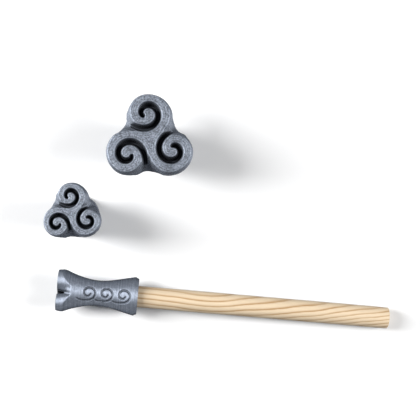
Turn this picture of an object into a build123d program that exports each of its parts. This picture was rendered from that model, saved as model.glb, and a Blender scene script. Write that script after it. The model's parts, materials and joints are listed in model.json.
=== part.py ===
from build123d import *
import math
import os

# Clay stamp set: a push-in dowel handle, the small stamp head it is plugged into, and a
# medium and a large head that stand beside it. Each head is one printed piece: an
# hourglass body with a socket in its back and a three-spiral relief on its face.

# Driving sizes, in millimetres
dowel_diameter = 10.0
dowel_length = 132.0
dowel_end_chamfer = 0.4
socket_clearance = 0.06
socket_depth = 14.0
socket_mouth_chamfer = 0.6
socket_floor_gap = 0.3
head_height = 37.2
back_chamfer_length = 1.6
back_chamfer_width = 0.8
cut_overrun = 0.5
box_tolerance = 0.02

large_rim_radius = 20.9
large_rim_depth = 6.5
large_waist_radius = 8.6
large_back_radius = 11.2
large_groove_depth = 6.8
large_relief_depth = 15.0
large_notch_draft_deg = 30.5

medium_rim_radius = 13.8
medium_rim_depth = 4.5
medium_waist_radius = 7.4
medium_back_radius = 9.9
medium_groove_depth = 5.2
medium_relief_depth = 14.0
medium_notch_draft_deg = 30.5

small_rim_radius = 10.4
small_rim_depth = 2.1
small_waist_radius = 5.9
small_back_radius = 9.0
small_groove_depth = 3.6
small_relief_depth = 12.0
small_notch_draft_deg = 35.0

# Where the waist lies, from the face, and how far the relief's flank leans outwards
# from the axis on the lobes. In the notches it leans by each head's own notch draft.
waist_from_face = 19.5
lobe_draft_deg = 8.5

# Places of the standing heads, measured from the centre of the small head's face, with
# X along the handle: how far right and how far up, and which way one lobe points
large_place_x = 36.75
large_place_y = 70.7
large_turn_deg = 96.0
medium_place_x = 5.8
medium_place_y = 35.05
medium_turn_deg = 97.0
small_turn_deg = 30.0

# Running scroll cut into the small head's side
scroll_pitch = 8.0
scroll_count = 3
scroll_first_from_face = 14.6
scroll_stroke_width = 0.8
scroll_depth = 0.6

# The body's outline from waist to rim and from waist to back edge:
# share of the way along the axis, share of the way out from the waist's radius
front_flare_shares = ((0.27, 0.07), (0.53, 0.29), (0.80, 0.64), (1.00, 1.00), (1.06, 1.12))
back_flare_shares = ((0.30, 0.17), (0.60, 0.52), (0.85, 0.83))

# The face's outline, one third of it: degrees from the lobe's own direction, the share
# of the face's radius, and the share of the notch's lean in the flank below. It leaves
# the round lobe early on one side, where the spiral groove comes out into the notch.
outline_shares = (
    (-61.0, 0.360, 0.88), (-54.5, 0.480, 0.53), (-46.5, 0.625, 0.20), (-39.0, 0.760, 0.05),
    (-31.0, 0.850, 0.0), (-20.0, 0.935, 0.0), (0.0, 1.000, 0.0), (15.0, 0.968, 0.0),
    (25.0, 0.890, 0.07), (32.0, 0.790, 0.27), (36.5, 0.690, 0.53), (40.0, 0.565, 0.85),
    (44.0, 0.435, 1.05),
)
notch_shares = (51.0, 0.360, 1.00)

# One spiral groove, about its own centre: degrees, counted with the lobe pointing
# straight up, and shares of the face's radius for the distance of its middle line and
# for half its width
spiral_centre_share = 0.555
spiral_turn_deg = 3.0
spiral_start_deg = 90.0
groove_shares = (
    (189.0, 0.800, 0.045), (193.0, 0.650, 0.045), (198.0, 0.540, 0.045),
    (205.0, 0.470, 0.046), (215.0, 0.418, 0.048), (229.0, 0.380, 0.051),
    (248.0, 0.346, 0.054), (270.0, 0.316, 0.055), (300.0, 0.280, 0.055),
    (330.0, 0.251, 0.055), (360.0, 0.227, 0.054), (390.0, 0.208, 0.054),
    (420.0, 0.192, 0.054), (450.0, 0.177, 0.053), (480.0, 0.163, 0.051),
    (510.0, 0.149, 0.047), (540.0, 0.132, 0.040), (570.0, 0.110, 0.030),
    (594.0, 0.088, 0.015),
)
groove_floor_width_share = 0.5
# The groove opens out towards the face, over its first part: how much each side, how deep
lip_spread_share = 0.020
lip_depth_share = 0.110

# How far the ring that cuts the notches reaches past the rim
ring_share = 1.6

# One scroll of the side ornament: shares of the pitch for its middle line, from the
# tail that runs under the scroll before it to the eye, and of the stroke for its width
scroll_tail_shares = ((-0.72, -0.30), (-0.48, -0.41), (-0.22, -0.44))
scroll_radius_shares = (0.42, 0.40, 0.375, 0.345, 0.31, 0.27, 0.23, 0.19, 0.15, 0.11)
scroll_step_deg = 50.0
scroll_width_shares = (0.35, 0.75, 1.0, 1.0, 1.0, 1.0, 1.0, 1.0, 1.0, 0.95, 0.9, 0.85, 0.7)

dowel_radius = dowel_diameter / 2
socket_radius = dowel_radius + socket_clearance
lobe_count = 3
full_turn_deg = 360.0
sector_deg = full_turn_deg / lobe_count


def polar(radius, degrees):
    angle = math.radians(degrees)
    return radius * math.cos(angle), radius * math.sin(angle)


def turned_body(rim_radius, rim_depth, waist_radius, back_radius):
    """The round hourglass that carries the relief, standing on its back at the origin."""
    waist_height = head_height - waist_from_face
    front_run = waist_from_face - rim_depth
    back_run = waist_height - back_chamfer_length
    front = [
        (waist_radius + out * (rim_radius - waist_radius), waist_height + along * front_run)
        for along, out in front_flare_shares
    ]
    back = [
        (waist_radius + out * (back_radius - waist_radius), waist_height - along * back_run)
        for along, out in back_flare_shares
    ]
    waist = (waist_radius, waist_height)
    edge = (back_radius, back_chamfer_length)
    foot = (back_radius - back_chamfer_width, 0)
    flare = Spline(edge, *reversed(back), waist, *front)
    widest = front[-1]
    rest = Polyline(widest, (widest[0], head_height), (0, head_height), (0, 0), foot, edge)
    profile = Plane.XZ * make_face([flare, rest])
    return revolve(profile, Axis.Z)


def outline_wire(edge_radius, notch_draft_deg, depth):
    """The relief's closed outline at a depth below the face, or above it if negative."""
    lobe_lean = depth * math.tan(math.radians(lobe_draft_deg))
    notch_lean = depth * math.tan(math.radians(notch_draft_deg))
    edges = []
    for index in range(lobe_count):
        start = (notch_shares[0] - sector_deg, *notch_shares[1:])
        points = []
        for degrees, share, notch_part in (start, *outline_shares, notch_shares):
            lean = lobe_lean + (notch_lean - lobe_lean) * notch_part
            points.append(polar(share * edge_radius + lean, degrees + index * sector_deg))
        edges.append(Spline(*points))
    return Pos(0, 0, head_height - depth) * Wire(edges)


def notch_cutter(rim_radius, rim_depth, relief_depth, notch_draft_deg):
    """What is cut away round the relief: a thick ring whose hole is the relief's flank."""
    edge_radius = rim_radius - rim_depth * math.tan(math.radians(lobe_draft_deg))
    top = outline_wire(edge_radius, notch_draft_deg, -cut_overrun)
    bottom = outline_wire(edge_radius, notch_draft_deg, relief_depth)
    relief = Solid.make_loft([bottom, top], ruled=True)
    middle = head_height - (relief_depth - cut_overrun) / 2
    ring = Cylinder(rim_radius * ring_share, relief_depth + cut_overrun)
    return Pos(0, 0, middle) * ring - relief


def strip_wire(middle, half_widths, extra, height):
    """A closed outline on both sides of a middle line, wider by extra, at a height."""
    left = []
    right = []
    last = len(middle) - 1
    for index, (x, y) in enumerate(middle):
        x0, y0 = middle[max(index - 1, 0)]
        x1, y1 = middle[min(index + 1, last)]
        length = math.hypot(x1 - x0, y1 - y0)
        out = (half_widths[index] + extra) / length
        left.append((x - (y1 - y0) * out, y + (x1 - x0) * out))
        right.append((x + (y1 - y0) * out, y - (x1 - x0) * out))
    there = Spline(*right)
    back = Spline(*reversed(left))
    edges = [there, Line(right[-1], left[-1]), back, Line(left[0], right[0])]
    return Pos(0, 0, height) * Wire(edges)


def groove_cutter(rim_radius, depth):
    """One spiral groove: wide sloping lips at the face, then steeper walls down to its floor."""
    centre_x, centre_y = polar(spiral_centre_share * rim_radius, spiral_turn_deg)
    middle = []
    half_widths = []
    for degrees, share, half_share in groove_shares:
        x, y = polar(share * rim_radius, degrees - spiral_start_deg)
        middle.append((centre_x + x, centre_y + y))
        half_widths.append(half_share * rim_radius)
    floor_widths = [half * groove_floor_width_share for half in half_widths]
    lip_depth = lip_depth_share * rim_radius
    spread = lip_spread_share * rim_radius * (lip_depth + cut_overrun) / lip_depth
    over = strip_wire(middle, half_widths, spread, head_height + cut_overrun)
    under_lip = strip_wire(middle, half_widths, 0, head_height - lip_depth)
    floor = strip_wire(middle, floor_widths, 0, head_height - depth)
    lips = Solid.make_loft([under_lip, over], ruled=True)
    walls = Solid.make_loft([floor, under_lip], ruled=True)
    return Part() + [lips, walls]


def socket_cutter():
    """The blind round socket for the dowel, with a sloping mouth."""
    bore = Pos(0, 0, (socket_depth - cut_overrun) / 2) * Cylinder(
        socket_radius, socket_depth + cut_overrun)
    mouth_radius = socket_radius + socket_mouth_chamfer
    mouth = Pos(0, 0, socket_mouth_chamfer / 2) * Cone(
        mouth_radius, socket_radius, socket_mouth_chamfer)
    return bore + mouth


def stamp_head(rim_radius, rim_depth, waist_radius, back_radius, groove_depth, relief_depth,
               notch_draft_deg):
    """A whole head, standing on its back, with one lobe pointing along X."""
    body = turned_body(rim_radius, rim_depth, waist_radius, back_radius)
    head = body - notch_cutter(rim_radius, rim_depth, relief_depth, notch_draft_deg)
    groove = groove_cutter(rim_radius, groove_depth)
    for index in range(lobe_count):
        head = head - Rot(0, 0, index * sector_deg) * groove
    return head - socket_cutter()


def dowel():
    """The handle, in the same frame as a head: its top is just short of the socket's floor."""
    top = socket_depth - socket_floor_gap
    rod = Pos(0, 0, top - dowel_length / 2) * Cylinder(dowel_radius, dowel_length)
    return chamfer(rod.edges().filter_by(GeomType.CIRCLE), dowel_end_chamfer)


def scroll_cutters():
    """The running scroll, as strokes that reach from the head's axis out past its side."""
    stroke_length = small_rim_radius + cut_overrun
    cutters = []
    for index in range(scroll_count):
        middle = [(u * scroll_pitch, v * scroll_pitch) for u, v in scroll_tail_shares]
        for step, share in enumerate(scroll_radius_shares):
            degrees = step * scroll_step_deg - spiral_start_deg
            middle.append(polar(share * scroll_pitch, degrees))
        half_widths = [share * scroll_stroke_width / 2 for share in scroll_width_shares]
        stroke = make_face(strip_wire(middle, half_widths, 0, 0))
        height = head_height - scroll_first_from_face - index * scroll_pitch
        side = Plane(origin=(0, 0, height), x_dir=(0, 0, -1), z_dir=(0, 1, 0))
        cutters.append(extrude(side * stroke, stroke_length, dir=(0, 1, 0)))
    return cutters


def small_stamp_head():
    """The small head, with a notch on its +Y side and the running scroll behind it."""
    head = stamp_head(small_rim_radius, small_rim_depth, small_waist_radius,
                      small_back_radius, small_groove_depth, small_relief_depth,
                      small_notch_draft_deg)
    head = Rot(0, 0, small_turn_deg) * head
    core = turned_body(small_rim_radius - scroll_depth, small_rim_depth,
                       small_waist_radius - scroll_depth, small_back_radius - scroll_depth)
    for cutter in scroll_cutters():
        head = head - (cutter - core)
    return head


def lying_place():
    """Where the small head's back lies when its lowest lobe and the dowel's end touch down."""
    rim_height = head_height - small_rim_depth
    dowel_foot = socket_depth - socket_floor_gap - dowel_length + dowel_end_chamfer
    tilt = math.atan2(small_rim_radius - dowel_radius, rim_height - dowel_foot)
    lift = small_rim_radius * math.cos(tilt) - rim_height * math.sin(tilt)
    along = head_height * math.cos(tilt)
    towards_face = (-math.cos(tilt), 0, math.sin(tilt))
    return Plane(origin=(along, 0, lift), x_dir=(0, -1, 0), z_dir=towards_face), tilt


lying, tilt = lying_place()
placed = {
    "small_head": lying * small_stamp_head(),
    "handle": lying * dowel(),
    "medium_head": Pos(medium_place_x, medium_place_y, 0) * Rot(0, 0, medium_turn_deg)
    * stamp_head(medium_rim_radius, medium_rim_depth, medium_waist_radius,
                 medium_back_radius, medium_groove_depth, medium_relief_depth,
                 medium_notch_draft_deg),
    "large_head": Pos(large_place_x, large_place_y, 0) * Rot(0, 0, large_turn_deg)
    * stamp_head(large_rim_radius, large_rim_depth, large_waist_radius,
                 large_back_radius, large_groove_depth, large_relief_depth,
                 large_notch_draft_deg),
}

# The origin: under the middle of the whole set's box, on the surface it stands on
corners = []
for name, piece in placed.items():
    points, _ = piece.tessellate(box_tolerance)
    corners += points
    print(f"{name}: {len(piece.solids())} solid, lowest {min(p.Z for p in points):.4f}")
low_x, high_x = min(p.X for p in corners), max(p.X for p in corners)
low_y, high_y = min(p.Y for p in corners), max(p.Y for p in corners)
to_origin = Pos(-(low_x + high_x) / 2, -(low_y + high_y) / 2, 0)

os.makedirs("parts", exist_ok=True)
for name, piece in placed.items():
    export_step(to_origin * piece, f"parts/{name}.step")


def report(name, place):
    x, y, z = tuple((to_origin * place).position)
    print(f"{name}: {x:.3f}, {y:.3f}, {z:.3f}")


print(f"box {high_x - low_x:.3f} x {high_y - low_y:.3f} x {max(p.Z for p in corners):.3f}")
print(f"tilt {math.degrees(tilt):.3f} degrees, handle axis "
      f"{math.cos(tilt):.6f}, 0, {-math.sin(tilt):.6f}")
report("small head back centre", lying.location)
report("handle end", lying.location * Pos(0, 0, socket_depth - socket_floor_gap - dowel_length))
report("medium head back centre", Pos(medium_place_x, medium_place_y, 0))
report("large head back centre", Pos(large_place_x, large_place_y, 0))
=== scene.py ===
import json
import math

import bmesh
import bpy
from mathutils import Euler, Matrix, Vector


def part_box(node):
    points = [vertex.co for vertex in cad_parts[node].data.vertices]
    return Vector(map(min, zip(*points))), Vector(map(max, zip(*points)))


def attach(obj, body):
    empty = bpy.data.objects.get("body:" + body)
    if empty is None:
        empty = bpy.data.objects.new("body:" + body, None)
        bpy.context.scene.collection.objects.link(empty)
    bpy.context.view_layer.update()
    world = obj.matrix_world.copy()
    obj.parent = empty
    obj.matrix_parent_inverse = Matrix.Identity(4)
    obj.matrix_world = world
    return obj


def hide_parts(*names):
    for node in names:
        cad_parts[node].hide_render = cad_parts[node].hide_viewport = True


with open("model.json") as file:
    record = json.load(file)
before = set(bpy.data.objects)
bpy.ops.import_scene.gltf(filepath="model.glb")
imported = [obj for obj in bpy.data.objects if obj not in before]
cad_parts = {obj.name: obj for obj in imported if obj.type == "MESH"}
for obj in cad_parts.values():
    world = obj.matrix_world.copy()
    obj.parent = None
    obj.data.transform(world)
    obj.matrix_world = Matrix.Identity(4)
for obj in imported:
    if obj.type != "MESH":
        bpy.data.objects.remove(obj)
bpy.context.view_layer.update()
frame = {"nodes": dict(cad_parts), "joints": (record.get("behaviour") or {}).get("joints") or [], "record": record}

bl_info = {
    "name": "Clay stamp set",
    "version": (1, 0, 0),
    "blender": (4, 5, 0),
    "location": "3D View > Sidebar > Stamps",
    "description": "Three printed spiral stamp heads and their dowel handle",
    "category": "Object",
}

MM = 0.001

# A real print has layers of 0.2 mm and lines of 0.45 mm; drawn wider, so that they show
LAYER_DRAWN = 0.56 * MM
LINE_DRAWN = 0.9 * MM
FLAKE_DRAWN = 0.5 * MM
# Closer than this to its edge, a face counts as a side
EDGE_MARGIN = 0.05 * MM
# Real wood fibres are some 0.05 mm wide; drawn wider, and this many times as long
FIBRE_DRAWN = 0.5 * MM
FIBRE_STRETCH = 12
# From the head end of the stick: where its rings are centred, start to cross it, and are
# as close as they get
RINGS_CENTRED = 19 * MM
RINGS_CROSS = 49 * MM
RINGS_CLOSE = 78 * MM

DOWEL_ROW = 0.4 * MM
DOWEL_END_ROUNDING = 0.4 * MM
FLOOR_REACH = 0.5
FLOOR_DROP = -0.05 * MM
LAMP_SIDES = (0.22, 0.6)
LAMP_AIM = (-0.02, 0, 0.01)
LEFT_LAMP_PLACE = (-0.57, 0.05, 0.40)
RIGHT_LAMP_PLACE = (0.57, 0.02, 0.40)
# The camera looks down, turned so that the handle slopes a little in the picture
CAMERA_X, CAMERA_Y = -20.47 * MM, -20.11 * MM
CAMERA_DEGREES = (2.575, -1.834, 5.069)


def srgb(text):
    """An sRGB hex colour as three linear numbers."""
    values = [int(text[i:i + 2], 16) / 255 for i in (1, 3, 5)]
    return tuple(v / 12.92 if v <= 0.04045 else ((v + 0.055) / 1.055) ** 2.4 for v in values)


def add_node(tree, kind, inputs=None, **settings):
    """Adds a node, applies its settings, then links or sets its inputs."""
    node = tree.nodes.new(kind)
    for name, value in settings.items():
        setattr(node, name, value)
    for key, value in (inputs or {}).items():
        socket = node.inputs[key]
        if isinstance(value, bpy.types.NodeSocket):
            tree.links.new(value, socket)
        elif socket.type == "RGBA" and len(value) == 3:
            socket.default_value = (*value, 1)
        else:
            socket.default_value = value
    return node


def maths(tree, operation, *values):
    """The result of one Math node."""
    node = add_node(tree, "ShaderNodeMath", dict(enumerate(values)), operation=operation)
    return node.outputs[0]


def ripple(tree, distance, length):
    """A sine wave from -1 to 1 along a distance."""
    return maths(tree, "SINE", maths(tree, "MULTIPLY", distance, 2 * math.pi / length))


def remap(tree, value, given, wanted, **settings):
    """A value taken from one range to another, and held inside it."""
    node = add_node(tree, "ShaderNodeMapRange", {
        "Value": value, "From Min": given[0], "From Max": given[1],
        "To Min": wanted[0], "To Max": wanted[1]}, **settings)
    return node.outputs["Result"]


def blend(tree, kind, factor, first, second):
    """The first value where the factor is 0, and the second where it is 1."""
    node = add_node(tree, "ShaderNodeMix", {"Factor": factor, "A": first, "B": second},
                    data_type=kind)
    return node.outputs["Result"]


def noise(tree, place, width, detail, roughness=0.5):
    """Noise from 0 to 1 with spots about as wide as said."""
    node = add_node(tree, "ShaderNodeTexNoise", {
        "Vector": place, "Scale": 1 / width, "Detail": detail, "Roughness": roughness})
    return node.outputs["Fac"]


def new_material(name):
    material = bpy.data.materials.new(name)
    material.use_nodes = True
    material.node_tree.nodes.clear()
    return material, material.node_tree


def new_shape_tree(name, inputs):
    """A Geometry Nodes tree with named inputs: rows of name and socket type."""
    tree = bpy.data.node_groups.new(name, "GeometryNodeTree")
    tree.interface.new_socket("Geometry", in_out="OUTPUT", socket_type="NodeSocketGeometry")
    tree.interface.new_socket("Geometry", in_out="INPUT", socket_type="NodeSocketGeometry")
    for label, kind in inputs:
        tree.interface.new_socket(label, in_out="INPUT", socket_type=kind)
    return tree, add_node(tree, "NodeGroupInput").outputs


def store(tree, geometry, name, value, kind="FLOAT"):
    """The geometry with a value kept on its points."""
    node = add_node(tree, "GeometryNodeStoreNamedAttribute",
                    {"Geometry": geometry, "Name": name, "Value": value},
                    data_type=kind, domain="POINT")
    return node.outputs[0]


def push_outward(tree, geometry, normal, distance):
    """The geometry with its points moved along their normals."""
    way = add_node(tree, "ShaderNodeVectorMath", {0: normal, "Scale": distance},
                   operation="SCALE")
    node = add_node(tree, "GeometryNodeSetPosition",
                    {"Geometry": geometry, "Offset": way.outputs[0]})
    return node.outputs[0]


def end_shape_tree(tree, geometry, material):
    """Every shape tree ends in real geometry with its material."""
    real = add_node(tree, "GeometryNodeRealizeInstances", {"Geometry": geometry})
    coated = add_node(tree, "GeometryNodeSetMaterial",
                      {"Geometry": real.outputs[0], "Material": material})
    add_node(tree, "NodeGroupOutput", {"Geometry": coated.outputs[0]})


def apply_shape_tree(piece, tree, values):
    """Runs a tree on a piece with values for its named inputs, and keeps the plain mesh."""
    modifier = piece.modifiers.new("Shape", "NODES")
    modifier.node_group = tree
    for item in tree.interface.items_tree:
        if item.item_type == "SOCKET" and item.in_out == "INPUT" and item.name in values:
            modifier[item.identifier] = values[item.name]
    bpy.context.view_layer.update()
    graph = bpy.context.evaluated_depsgraph_get()
    mesh = bpy.data.meshes.new_from_object(
        piece.evaluated_get(graph), preserve_all_data_layers=True, depsgraph=graph)
    piece.modifiers.clear()
    old = piece.data
    piece.data = mesh
    bpy.data.meshes.remove(old)
    if not mesh.vertices:
        raise RuntimeError(f"{piece.name} came out of its shape tree empty")
    mesh.shade_smooth()


def new_piece(name, mesh):
    piece = bpy.data.objects.new(name, mesh)
    bpy.context.scene.collection.objects.link(piece)
    return piece


class HeadSettings(bpy.types.PropertyGroup):
    layer_pitch: bpy.props.FloatProperty(
        name="Layer pitch", description="Height of the printed layers that show as ridges",
        default=1.12 * MM, min=0.1 * MM, unit="LENGTH")
    ridge_height: bpy.props.FloatProperty(
        name="Ridge height", description="How far the layer ridges stand out of the sides",
        default=0.03 * MM, min=0, unit="LENGTH")
    grain_height: bpy.props.FloatProperty(
        name="Grain height", description="Unevenness from one layer to the next",
        default=0.035 * MM, min=0, unit="LENGTH")
    large_cell: bpy.props.FloatProperty(
        name="Large head cell", description="Mesh cell of the large head",
        default=0.3 * MM, min=0.1 * MM, unit="LENGTH")
    medium_cell: bpy.props.FloatProperty(
        name="Medium head cell", description="Mesh cell of the medium head",
        default=0.24 * MM, min=0.1 * MM, unit="LENGTH")
    small_cell: bpy.props.FloatProperty(
        name="Small head cell", description="Mesh cell of the small head",
        default=0.208 * MM, min=0.1 * MM, unit="LENGTH")
    colour: bpy.props.FloatVectorProperty(
        name="Plastic colour", description="Silver-grey of the printed plastic",
        subtype="COLOR", size=3, default=srgb("#9aa1ad"), min=0, max=1)
    roughness: bpy.props.FloatProperty(
        name="Face roughness", description="How dull the printed faces are",
        default=0.42, min=0, max=1, subtype="FACTOR")


class DowelSettings(bpy.types.PropertyGroup):
    ring_width: bpy.props.FloatProperty(
        name="Ring width", description="Distance between two growth rings",
        default=2.35 * MM, min=0.2 * MM, unit="LENGTH")
    relief: bpy.props.FloatProperty(
        name="Grain relief", description="How far the hard ring lines stand out",
        default=0.03 * MM, min=0, unit="LENGTH")
    early_colour: bpy.props.FloatVectorProperty(
        name="Early wood", description="Pale wood between the ring lines",
        subtype="COLOR", size=3, default=srgb("#ead4b4"), min=0, max=1)
    late_colour: bpy.props.FloatVectorProperty(
        name="Late wood", description="Brown wood of the ring lines",
        subtype="COLOR", size=3, default=srgb("#ab8252"), min=0, max=1)


class StageSettings(bpy.types.PropertyGroup):
    camera_height: bpy.props.FloatProperty(
        name="Camera height", description="Height of the camera over the floor",
        default=480.2 * MM, min=0.1, unit="LENGTH")
    lens: bpy.props.FloatProperty(
        name="Lens", description="Focal length for a 36 mm wide picture",
        default=86.3, min=10, unit="CAMERA")
    floor_colour: bpy.props.FloatVectorProperty(
        name="Floor colour", description="White card under the set",
        subtype="COLOR", size=3, default=srgb("#f8f8f8"), min=0, max=1)
    left_power: bpy.props.FloatProperty(
        name="Left lamp", description="Power of the soft box on the left",
        default=6.8, min=0, unit="POWER")
    right_power: bpy.props.FloatProperty(
        name="Right lamp", description="Power of the soft box on the right",
        default=4.9, min=0, unit="POWER")


def plastic_material(settings):
    """Silver-grey PLA, printed in layers and left as printed.

    The metallic pigment makes it bright where it faces the light and dark at its flanks;
    its colour also carries a painted glint and sheen, and painted shade where it is seen
    aslant and in its hollows. The layers run round the sides, and the last layer's lines
    follow the outline.
    """
    material, tree = new_material("Silver_PLA_printed")
    height = add_node(tree, "ShaderNodeAttribute", attribute_name="print_height")
    edge = add_node(tree, "ShaderNodeAttribute", attribute_name="edge_distance")
    place = add_node(tree, "ShaderNodeTexCoord").outputs["Object"]
    on_face = maths(tree, "GREATER_THAN", edge.outputs["Fac"], EDGE_MARGIN)

    def by_place(sides, face):
        """One value on the sides and another on the face."""
        return remap(tree, on_face, (0, 1), (sides, face))

    pattern = blend(tree, "FLOAT", on_face, ripple(tree, height.outputs["Fac"], LAYER_DRAWN),
                    ripple(tree, edge.outputs["Fac"], LINE_DRAWN))
    # The faces are rougher than the sides, where little but the layers shows
    grain = noise(tree, place, 0.7 * MM, 3, 0.7)
    ribs = maths(tree, "MULTIPLY", pattern, by_place(1, 0.4))
    relief = maths(tree, "MULTIPLY_ADD", grain, by_place(0.8, 5), ribs)
    bump = add_node(tree, "ShaderNodeBump", {"Height": relief, "Strength": 1,
                    "Distance": 0.05 * MM})
    # Each layer came out a little lighter or darker than the next
    streaks = add_node(tree, "ShaderNodeTexNoise", {"W": height.outputs["Fac"],
                       "Scale": 1 / (0.6 * MM), "Detail": 2}, noise_dimensions="1D")
    clouds = maths(tree, "MULTIPLY_ADD", noise(tree, place, 4 * MM, 2), 0.4, 0.3)
    shade = blend(tree, "FLOAT", on_face, streaks.outputs["Fac"], clouds)
    level = remap(tree, shade, (0.25, 0.75), (0.8, 1.12))
    # Less light comes back out of the seams between the beads
    seams = remap(tree, pattern, (-1, 0.3), (0.68, 1))
    # Painted glint: flakes of the metallic pigment, each at its own angle, lighten or darken the colour at random;
    # the sides are also painted lighter than the face, as painted sheen
    flakes = add_node(tree, "ShaderNodeTexVoronoi", {"Vector": place,
                      "Scale": 1 / FLAKE_DRAWN})
    flake = add_node(tree, "ShaderNodeSeparateColor", {"Color": flakes.outputs["Color"]})
    painted_glint_and_sheen = maths(tree, "MULTIPLY_ADD", flake.outputs["Red"], by_place(0.3, 0.7),
                  by_place(1.2, 0.49))
    # Flakes lie along the sides' beads; the colour is painted darker where the sides are seen aslant, as painted
    # shade on the flanks
    aslant = add_node(tree, "ShaderNodeLayerWeight", {"Blend": 0.5})
    painted_aslant_shade = remap(tree, aslant.outputs["Facing"], (0.2, 0.55), (1, by_place(0.6, 0.95)))
    # Painted shade: the colour darkens in notches, grooves and other hollows, by ambient occlusion
    hollow_occlusion = add_node(tree, "ShaderNodeAmbientOcclusion", {"Distance": 4 * MM}, samples=8)
    painted_hollow_shade = remap(tree, hollow_occlusion.outputs["AO"], (0.4, 0.92), (0.25, 1))
    # The colour carries the random tone of layers and flakes, the painted glint and sheen, and the painted shade
    share = level
    for factor in (seams, painted_glint_and_sheen, painted_aslant_shade, painted_hollow_shade):
        share = maths(tree, "MULTIPLY", share, factor)
    tint = add_node(tree, "ShaderNodeVectorMath", {0: tuple(settings.colour),
                    "Scale": share}, operation="SCALE")
    # The layers stretch the sheen of the sides along the head's axis
    axis = add_node(tree, "ShaderNodeAttribute", attribute_name="print_axis")
    shader = add_node(tree, "ShaderNodeBsdfPrincipled", {
        "Base Color": tint.outputs[0], "Metallic": 0.94,
        "Roughness": by_place(0.7, settings.roughness), "IOR": 1.46,
        "Specular Tint": srgb("#15171c"), "Normal": bump.outputs[0],
        "Anisotropic": by_place(0.66, 0), "Tangent": axis.outputs["Vector"]})
    add_node(tree, "ShaderNodeOutputMaterial", {"Surface": shader.outputs[0]})
    return material


def layered_print_tree():
    """Softens a print's edges, ridges its sides and stores where layers and lines run."""
    tree, given = new_shape_tree("Layered_print", (
        ("Face Height", "NodeSocketFloat"), ("Layer Pitch", "NodeSocketFloat"),
        ("Ridge Height", "NodeSocketFloat"), ("Grain Height", "NodeSocketFloat"),
        ("Print Axis", "NodeSocketVector"), ("Edge Softening", "NodeSocketInt"),
        ("Material", "NodeSocketMaterial")))
    here = add_node(tree, "GeometryNodeInputPosition")
    soft = add_node(tree, "GeometryNodeBlurAttribute", {"Value": here.outputs[0],
                    "Iterations": given["Edge Softening"]}, data_type="FLOAT_VECTOR")
    softened = add_node(tree, "GeometryNodeSetPosition", {
        "Geometry": given["Geometry"], "Position": soft.outputs[0]})
    height = add_node(tree, "ShaderNodeSeparateXYZ", {0: here.outputs[0]}).outputs["Z"]
    tall = store(tree, softened.outputs[0], "print_height", height)
    # Lines on the face follow the distance from its edge
    normal = add_node(tree, "GeometryNodeInputNormal").outputs[0]
    slope = add_node(tree, "ShaderNodeSeparateXYZ", {0: normal}).outputs["Z"]
    upward = add_node(tree, "FunctionNodeCompare", {0: slope, 1: 0.9},
                      operation="GREATER_THAN")
    near_top = maths(tree, "SUBTRACT", given["Face Height"], 0.2 * MM)
    high = add_node(tree, "FunctionNodeCompare", {0: height, 1: near_top},
                    operation="GREATER_THAN")
    on_face = add_node(tree, "FunctionNodeBooleanMath", {0: upward.outputs[0],
                       1: high.outputs[0]}, operation="AND")
    split = add_node(tree, "GeometryNodeSeparateGeometry", {
        "Geometry": tall, "Selection": on_face.outputs[0]}, domain="FACE")
    away = add_node(tree, "GeometryNodeProximity", {0: split.outputs["Inverted"]},
                    target_element="FACES")
    lined = store(tree, tall, "edge_distance", away.outputs["Distance"])
    # Layers stand out of what is upright, each a little further in or out than the next
    turns = maths(tree, "DIVIDE", height, given["Layer Pitch"])
    wave = maths(tree, "SINE", maths(tree, "MULTIPLY", turns, 2 * math.pi))
    ridge = maths(tree, "MULTIPLY", wave, given["Ridge Height"])
    drift = add_node(tree, "ShaderNodeTexNoise", {"W": turns, "Scale": 0.9, "Detail": 1},
                     noise_dimensions="1D")
    centred = maths(tree, "SUBTRACT", drift.outputs["Fac"], 0.5)
    uneven = maths(tree, "MULTIPLY_ADD", centred, given["Grain Height"], ridge)
    upright = maths(tree, "SUBTRACT", 1, maths(tree, "ABSOLUTE", slope))
    ridged = push_outward(tree, lined, normal, maths(tree, "MULTIPLY", uneven, upright))
    aimed = store(tree, ridged, "print_axis", given["Print Axis"], "FLOAT_VECTOR")
    end_shape_tree(tree, aimed, given["Material"])
    return tree


def joint_axis(name):
    """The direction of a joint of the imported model."""
    for joint in frame["joints"]:
        if joint["name"] == name:
            return Vector(joint["axis"]).normalized()
    raise RuntimeError(f"the packed model has no joint {name}")


def mount_place(name):
    """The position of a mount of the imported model."""
    for mount in frame["record"]["mounts"]:
        if mount["name"] == name:
            return Vector(mount["pos_m"])
    raise RuntimeError(f"the packed model has no mount {name}")


def standing_place(socket):
    """The own frame of a head that stands on its back: its axis through the origin."""
    x, y, _ = mount_place(socket)
    return Matrix.Translation((x, y, 0))


def turn_along(axis):
    """Turns the Z axis to a direction, and the X axis to the front."""
    front = Vector((0, -1, 0))
    third = axis.cross(front).normalized()
    return Matrix((front, third, axis)).transposed().to_4x4()


def lying_place():
    """The own frame of the head on the handle: back at the origin, face up its Z axis."""
    up = joint_axis("small_head_pull")
    low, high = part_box("handle")
    middle = (low + high) / 2
    back = min((v.co - middle).dot(up) for v in frame["nodes"]["small_head"].data.vertices)
    return Matrix.Translation(middle + up * back) @ turn_along(up)


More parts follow.
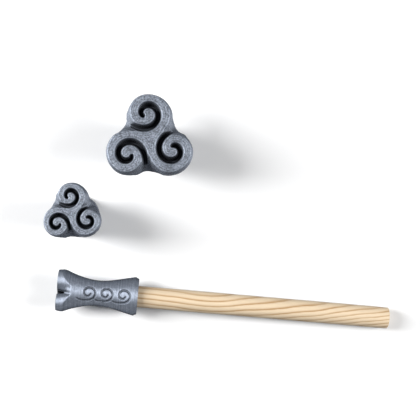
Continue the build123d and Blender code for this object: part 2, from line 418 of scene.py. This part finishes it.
def printed_head(name, node, place, cell, settings, tree, material):
    """One printed head: the CAD head as a fine even mesh, softened, ridged, put back."""
    mesh = frame["nodes"][node].data.copy()
    mesh.transform(place.inverted())
    shell = bmesh.new()
    shell.from_mesh(mesh)
    bmesh.ops.remove_doubles(shell, verts=shell.verts, dist=0.001 * MM)
    shell.to_mesh(mesh)
    shell.free()
    piece = new_piece(name, mesh)
    remesh = piece.modifiers.new("Even", "REMESH")
    remesh.mode = "VOXEL"
    remesh.voxel_size = cell
    remesh.use_smooth_shade = True
    face_height = max(v.co.z for v in mesh.vertices)
    apply_shape_tree(piece, tree, {
        "Face Height": face_height, "Layer Pitch": settings.layer_pitch,
        "Ridge Height": settings.ridge_height, "Grain Height": settings.grain_height,
        "Print Axis": place.to_3x3() @ Vector((0, 0, 1)), "Edge Softening": 2,
        "Material": material})
    piece.data.transform(place)
    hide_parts(node)
    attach(piece, node)


class STAMPSET_OT_heads(bpy.types.Operator):
    """Make the three printed stamp heads"""
    bl_idname = "stamp_set.make_heads"
    bl_label = "Printed heads"

    def execute(self, context):
        settings = context.scene.stamp_heads
        material = plastic_material(settings)
        tree = layered_print_tree()
        heads = (
            ("large_stamp_head", "large_head", standing_place("large_socket"),
             settings.large_cell),
            ("medium_stamp_head", "medium_head", standing_place("medium_socket"),
             settings.medium_cell),
            ("small_stamp_head", "small_head", lying_place(), settings.small_cell),
        )
        for name, node, place, cell in heads:
            printed_head(name, node, place, cell, settings, tree, material)
        return {"FINISHED"}


def wood_material(settings):
    """Pine dowel, machine-turned and sanded, with no finish on it.

    Pale early wood between brown late-wood lines, fine fibres along the stick, dull.
    """
    material, tree = new_material("Pine_sanded")
    rings = add_node(tree, "ShaderNodeAttribute", attribute_name="ring_count")
    place = add_node(tree, "ShaderNodeTexCoord")
    axis = joint_axis("small_head_pull")
    tilt = math.atan2(axis.z, -axis.x)
    along = add_node(tree, "ShaderNodeMapping", {"Vector": place.outputs["Object"],
                     "Rotation": (0, -tilt, 0)})
    fibre_place = add_node(tree, "ShaderNodeVectorMath", {
        0: along.outputs[0], 1: (1 / FIBRE_STRETCH, 1, 1)}, operation="MULTIPLY").outputs[0]
    fibres = noise(tree, fibre_place, FIBRE_DRAWN, 4, 0.65)
    # Each ring fades slowly into its dark line, which ends at once
    ring_part = maths(tree, "FRACT", maths(tree, "MULTIPLY_ADD", fibres, 0.22,
                                           rings.outputs["Fac"]))
    profile = add_node(tree, "ShaderNodeValToRGB", {"Fac": ring_part})
    stops = ((0.0, 0.0), (0.30, 0.08), (0.46, 0.55), (0.58, 1.0), (0.66, 0.75), (0.76, 0.05),
             (1.0, 0.0))
    ramp = profile.color_ramp
    while len(ramp.elements) < len(stops):
        ramp.elements.new(0.5)
    for element, (at, level) in zip(ramp.elements, stops):
        element.position = at
        element.color = (level, level, level, 1)
    depth = remap(tree, noise(tree, fibre_place, 3.5 * MM, 2), (0.3, 0.7), (0.55, 1))
    late = maths(tree, "MULTIPLY", profile.outputs["Color"], depth)
    pale = blend(tree, "RGBA", remap(tree, fibres, (0.35, 0.65), (0, 1)),
                 tuple(v * 0.9 for v in settings.early_colour), tuple(settings.early_colour))
    colour = blend(tree, "RGBA", late, pale, tuple(settings.late_colour))
    bump = add_node(tree, "ShaderNodeBump", {"Height": fibres, "Strength": 0.3,
                    "Distance": 0.05 * MM})
    shader = add_node(tree, "ShaderNodeBsdfPrincipled", {
        "Base Color": colour, "Roughness": 0.62, "IOR": 1.5, "Normal": bump.outputs[0]})
    add_node(tree, "ShaderNodeOutputMaterial", {"Surface": shader.outputs[0]})
    return material


def turned_dowel_tree():
    """A dowel round the Z axis, head end at the bottom, with the growth rings' relief."""
    tree, given = new_shape_tree("Turned_dowel", (
        ("Length", "NodeSocketFloat"), ("Radius", "NodeSocketFloat"),
        ("End Rounding", "NodeSocketFloat"), ("Ring Width", "NodeSocketFloat"),
        ("Relief", "NodeSocketFloat"), ("Row Count", "NodeSocketInt"),
        ("Material", "NodeSocketMaterial")))
    rod = add_node(tree, "GeometryNodeMeshCylinder", {
        "Vertices": 112, "Side Segments": given["Row Count"], "Fill Segments": 14,
        "Radius": given["Radius"], "Depth": given["Length"]}, fill_type="TRIANGLE_FAN")
    here = add_node(tree, "GeometryNodeInputPosition")
    axes = add_node(tree, "ShaderNodeSeparateXYZ", {0: here.outputs[0]})
    half = maths(tree, "MULTIPLY", given["Length"], 0.5)
    start = maths(tree, "SUBTRACT", half, given["End Rounding"])
    lost = remap(tree, maths(tree, "ABSOLUTE", axes.outputs["Z"]), (start, half),
                 (0, given["End Rounding"]))
    narrow = maths(tree, "SUBTRACT", 1, maths(tree, "DIVIDE", lost, given["Radius"]))
    squeeze = add_node(tree, "ShaderNodeCombineXYZ", {"X": narrow, "Y": narrow, "Z": 1})
    rounded = add_node(tree, "ShaderNodeVectorMath", {0: here.outputs[0],
                       1: squeeze.outputs[0]}, operation="MULTIPLY")
    shaped = add_node(tree, "GeometryNodeSetPosition", {
        "Geometry": rod.outputs["Mesh"], "Position": rounded.outputs[0]})
    # The rings run along the stick, then cross it slowly from about a third of its length
    run = maths(tree, "ADD", axes.outputs["Z"], half)
    beyond = maths(tree, "SMOOTH_MAX", maths(tree, "SUBTRACT", run, RINGS_CROSS), 0, 9 * MM)
    shift = maths(tree, "MULTIPLY_ADD", maths(tree, "SUBTRACT", run, RINGS_CENTRED), -0.04,
                  maths(tree, "MULTIPLY", beyond, 0.18))
    spread = remap(tree, run, (RINGS_CROSS, RINGS_CLOSE), (1, 0.72),
                   interpolation_type="SMOOTHSTEP")
    across = maths(tree, "MULTIPLY_ADD", axes.outputs["X"], spread, shift)
    wander = noise(tree, here.outputs[0], 22 * MM, 1)
    wandering = maths(tree, "MULTIPLY_ADD", wander, 1.4 * MM, across)
    count = maths(tree, "DIVIDE", wandering, given["Ring Width"])
    # Later rings are narrower
    late_part = maths(tree, "MAXIMUM", maths(tree, "SUBTRACT", count, 1), 0)
    rings = maths(tree, "MULTIPLY_ADD", maths(tree, "POWER", late_part, 2), 0.11, count)
    counted = store(tree, shaped.outputs[0], "ring_count", rings)
    wave = maths(tree, "COSINE", maths(tree, "MULTIPLY", rings, 2 * math.pi))
    normal = add_node(tree, "GeometryNodeInputNormal").outputs[0]
    grained = push_outward(tree, counted, normal,
                           maths(tree, "MULTIPLY", wave, given["Relief"]))
    end_shape_tree(tree, grained, given["Material"])
    return tree


class STAMPSET_OT_handle(bpy.types.Operator):
    """Make the wooden dowel handle"""
    bl_idname = "stamp_set.make_handle"
    bl_label = "Dowel handle"

    def execute(self, context):
        settings = context.scene.stamp_dowel
        away = -joint_axis("small_head_pull")
        points = [v.co for v in frame["nodes"]["handle"].data.vertices]
        low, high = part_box("handle")
        middle = (low + high) / 2
        reach = [(p - middle).dot(away) for p in points]
        length = max(reach) - min(reach)
        radius = (high.y - low.y) / 2
        piece = new_piece("dowel_handle", bpy.data.meshes.new("dowel_handle"))
        apply_shape_tree(piece, turned_dowel_tree(), {
            "Length": length - 2 * settings.relief, "Radius": radius - settings.relief,
            "End Rounding": DOWEL_END_ROUNDING, "Ring Width": settings.ring_width,
            "Relief": settings.relief, "Row Count": round(length / DOWEL_ROW),
            "Material": wood_material(settings)})
        piece.data.transform(Matrix.Translation(middle) @ turn_along(away))
        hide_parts("handle")
        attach(piece, "handle")
        return {"FINISHED"}


def seen_share(tree):
    """1 for rays that show the background: to the camera, in a mirror or through glass."""
    rays = add_node(tree, "ShaderNodeLightPath").outputs
    seen = maths(tree, "MAXIMUM", rays["Is Camera Ray"], rays["Is Glossy Ray"])
    return maths(tree, "MAXIMUM", seen, rays["Is Transmission Ray"])


def floor_material(settings):
    """White card, matt and smooth. It is white to what sees it, and keeps shadows."""
    material, tree = new_material("White_card")
    colour = blend(tree, "RGBA", seen_share(tree), srgb("#6c6c6c"),
                   tuple(settings.floor_colour))
    card = add_node(tree, "ShaderNodeBsdfDiffuse", {"Color": colour})
    add_node(tree, "ShaderNodeOutputMaterial", {"Surface": card.outputs[0]})
    return material


def studio_sky(tree):
    """A grey room to look at, which gives little light of its own."""
    colour = blend(tree, "RGBA", seen_share(tree), srgb("#3a3c3f"), srgb("#686b70"))
    sky = add_node(tree, "ShaderNodeBackground", {"Color": colour, "Strength": 1})
    add_node(tree, "ShaderNodeOutputWorld", {"Surface": sky.outputs[0]})


def soft_box(name, place, power):
    """An upright soft lamp that looks at the set."""
    lamp = bpy.data.lights.new(name, "AREA")
    lamp.shape = "RECTANGLE"
    lamp.size, lamp.size_y = LAMP_SIDES
    lamp.energy = power
    holder = bpy.data.objects.new(name, lamp)
    bpy.context.scene.collection.objects.link(holder)
    holder.location = place
    holder.rotation_mode = "QUATERNION"
    holder.rotation_quaternion = (Vector(LAMP_AIM) - Vector(place)).to_track_quat("-Z", "Y")


class STAMPSET_OT_stage(bpy.types.Operator):
    """Make the floor, the lamps, the sky and the camera"""
    bl_idname = "stamp_set.make_stage"
    bl_label = "Stage"

    def execute(self, context):
        settings = context.scene.stamp_stage
        scene = context.scene
        scene.view_settings.view_transform = "Standard"
        sheet = bpy.data.meshes.new("floor")
        corners = [(x * FLOOR_REACH, y * FLOOR_REACH, FLOOR_DROP)
                   for x, y in ((-1, -1), (1, -1), (1, 1), (-1, 1))]
        sheet.from_pydata(corners, [], [(0, 1, 2, 3)])
        floor = new_piece("floor", sheet)
        sheet.materials.append(floor_material(settings))

        world = bpy.data.worlds.new("Studio")
        scene.world = world
        world.use_nodes = True
        world.node_tree.nodes.clear()
        studio_sky(world.node_tree)

        soft_box("left_box", LEFT_LAMP_PLACE, settings.left_power)
        soft_box("right_box", RIGHT_LAMP_PLACE, settings.right_power)

        lens = bpy.data.cameras.new("Camera")
        lens.lens = settings.lens
        lens.sensor_width = 36
        lens.clip_start = 0.01
        lens.clip_end = 20
        camera = bpy.data.objects.new("Camera", lens)
        scene.collection.objects.link(camera)
        camera.location = (CAMERA_X, CAMERA_Y, settings.camera_height)
        camera.rotation_euler = Euler([math.radians(d) for d in CAMERA_DEGREES], "XYZ")
        scene.camera = camera
        return {"FINISHED"}


class STAMPSET_PT_panel(bpy.types.Panel):
    """Lists the stamp set's sizes, colours and makers"""
    bl_idname = "STAMPSET_PT_panel"
    bl_label = "Clay stamp set"
    bl_space_type = "VIEW_3D"
    bl_region_type = "UI"
    bl_category = "Stamps"

    def draw(self, context):
        for group, operator in GROUPS:
            box = self.layout.box()
            settings = getattr(context.scene, group)
            for name in settings.__annotations__:
                box.prop(settings, name)
            box.operator(operator.bl_idname)


GROUPS = (("stamp_stage", STAMPSET_OT_stage), ("stamp_heads", STAMPSET_OT_heads),
          ("stamp_dowel", STAMPSET_OT_handle))
CLASSES = (HeadSettings, DowelSettings, StageSettings, STAMPSET_OT_heads,
           STAMPSET_OT_handle, STAMPSET_OT_stage, STAMPSET_PT_panel)


def register():
    for item in CLASSES:
        bpy.utils.register_class(item)
    bpy.types.Scene.stamp_heads = bpy.props.PointerProperty(type=HeadSettings)
    bpy.types.Scene.stamp_dowel = bpy.props.PointerProperty(type=DowelSettings)
    bpy.types.Scene.stamp_stage = bpy.props.PointerProperty(type=StageSettings)


def unregister():
    del bpy.types.Scene.stamp_stage
    del bpy.types.Scene.stamp_dowel
    del bpy.types.Scene.stamp_heads
    for item in reversed(CLASSES):
        bpy.utils.unregister_class(item)


def main():
    register()
    bpy.ops.stamp_set.make_stage()
    bpy.ops.stamp_set.make_heads()
    bpy.ops.stamp_set.make_handle()


if __name__ == "__main__":
    main()
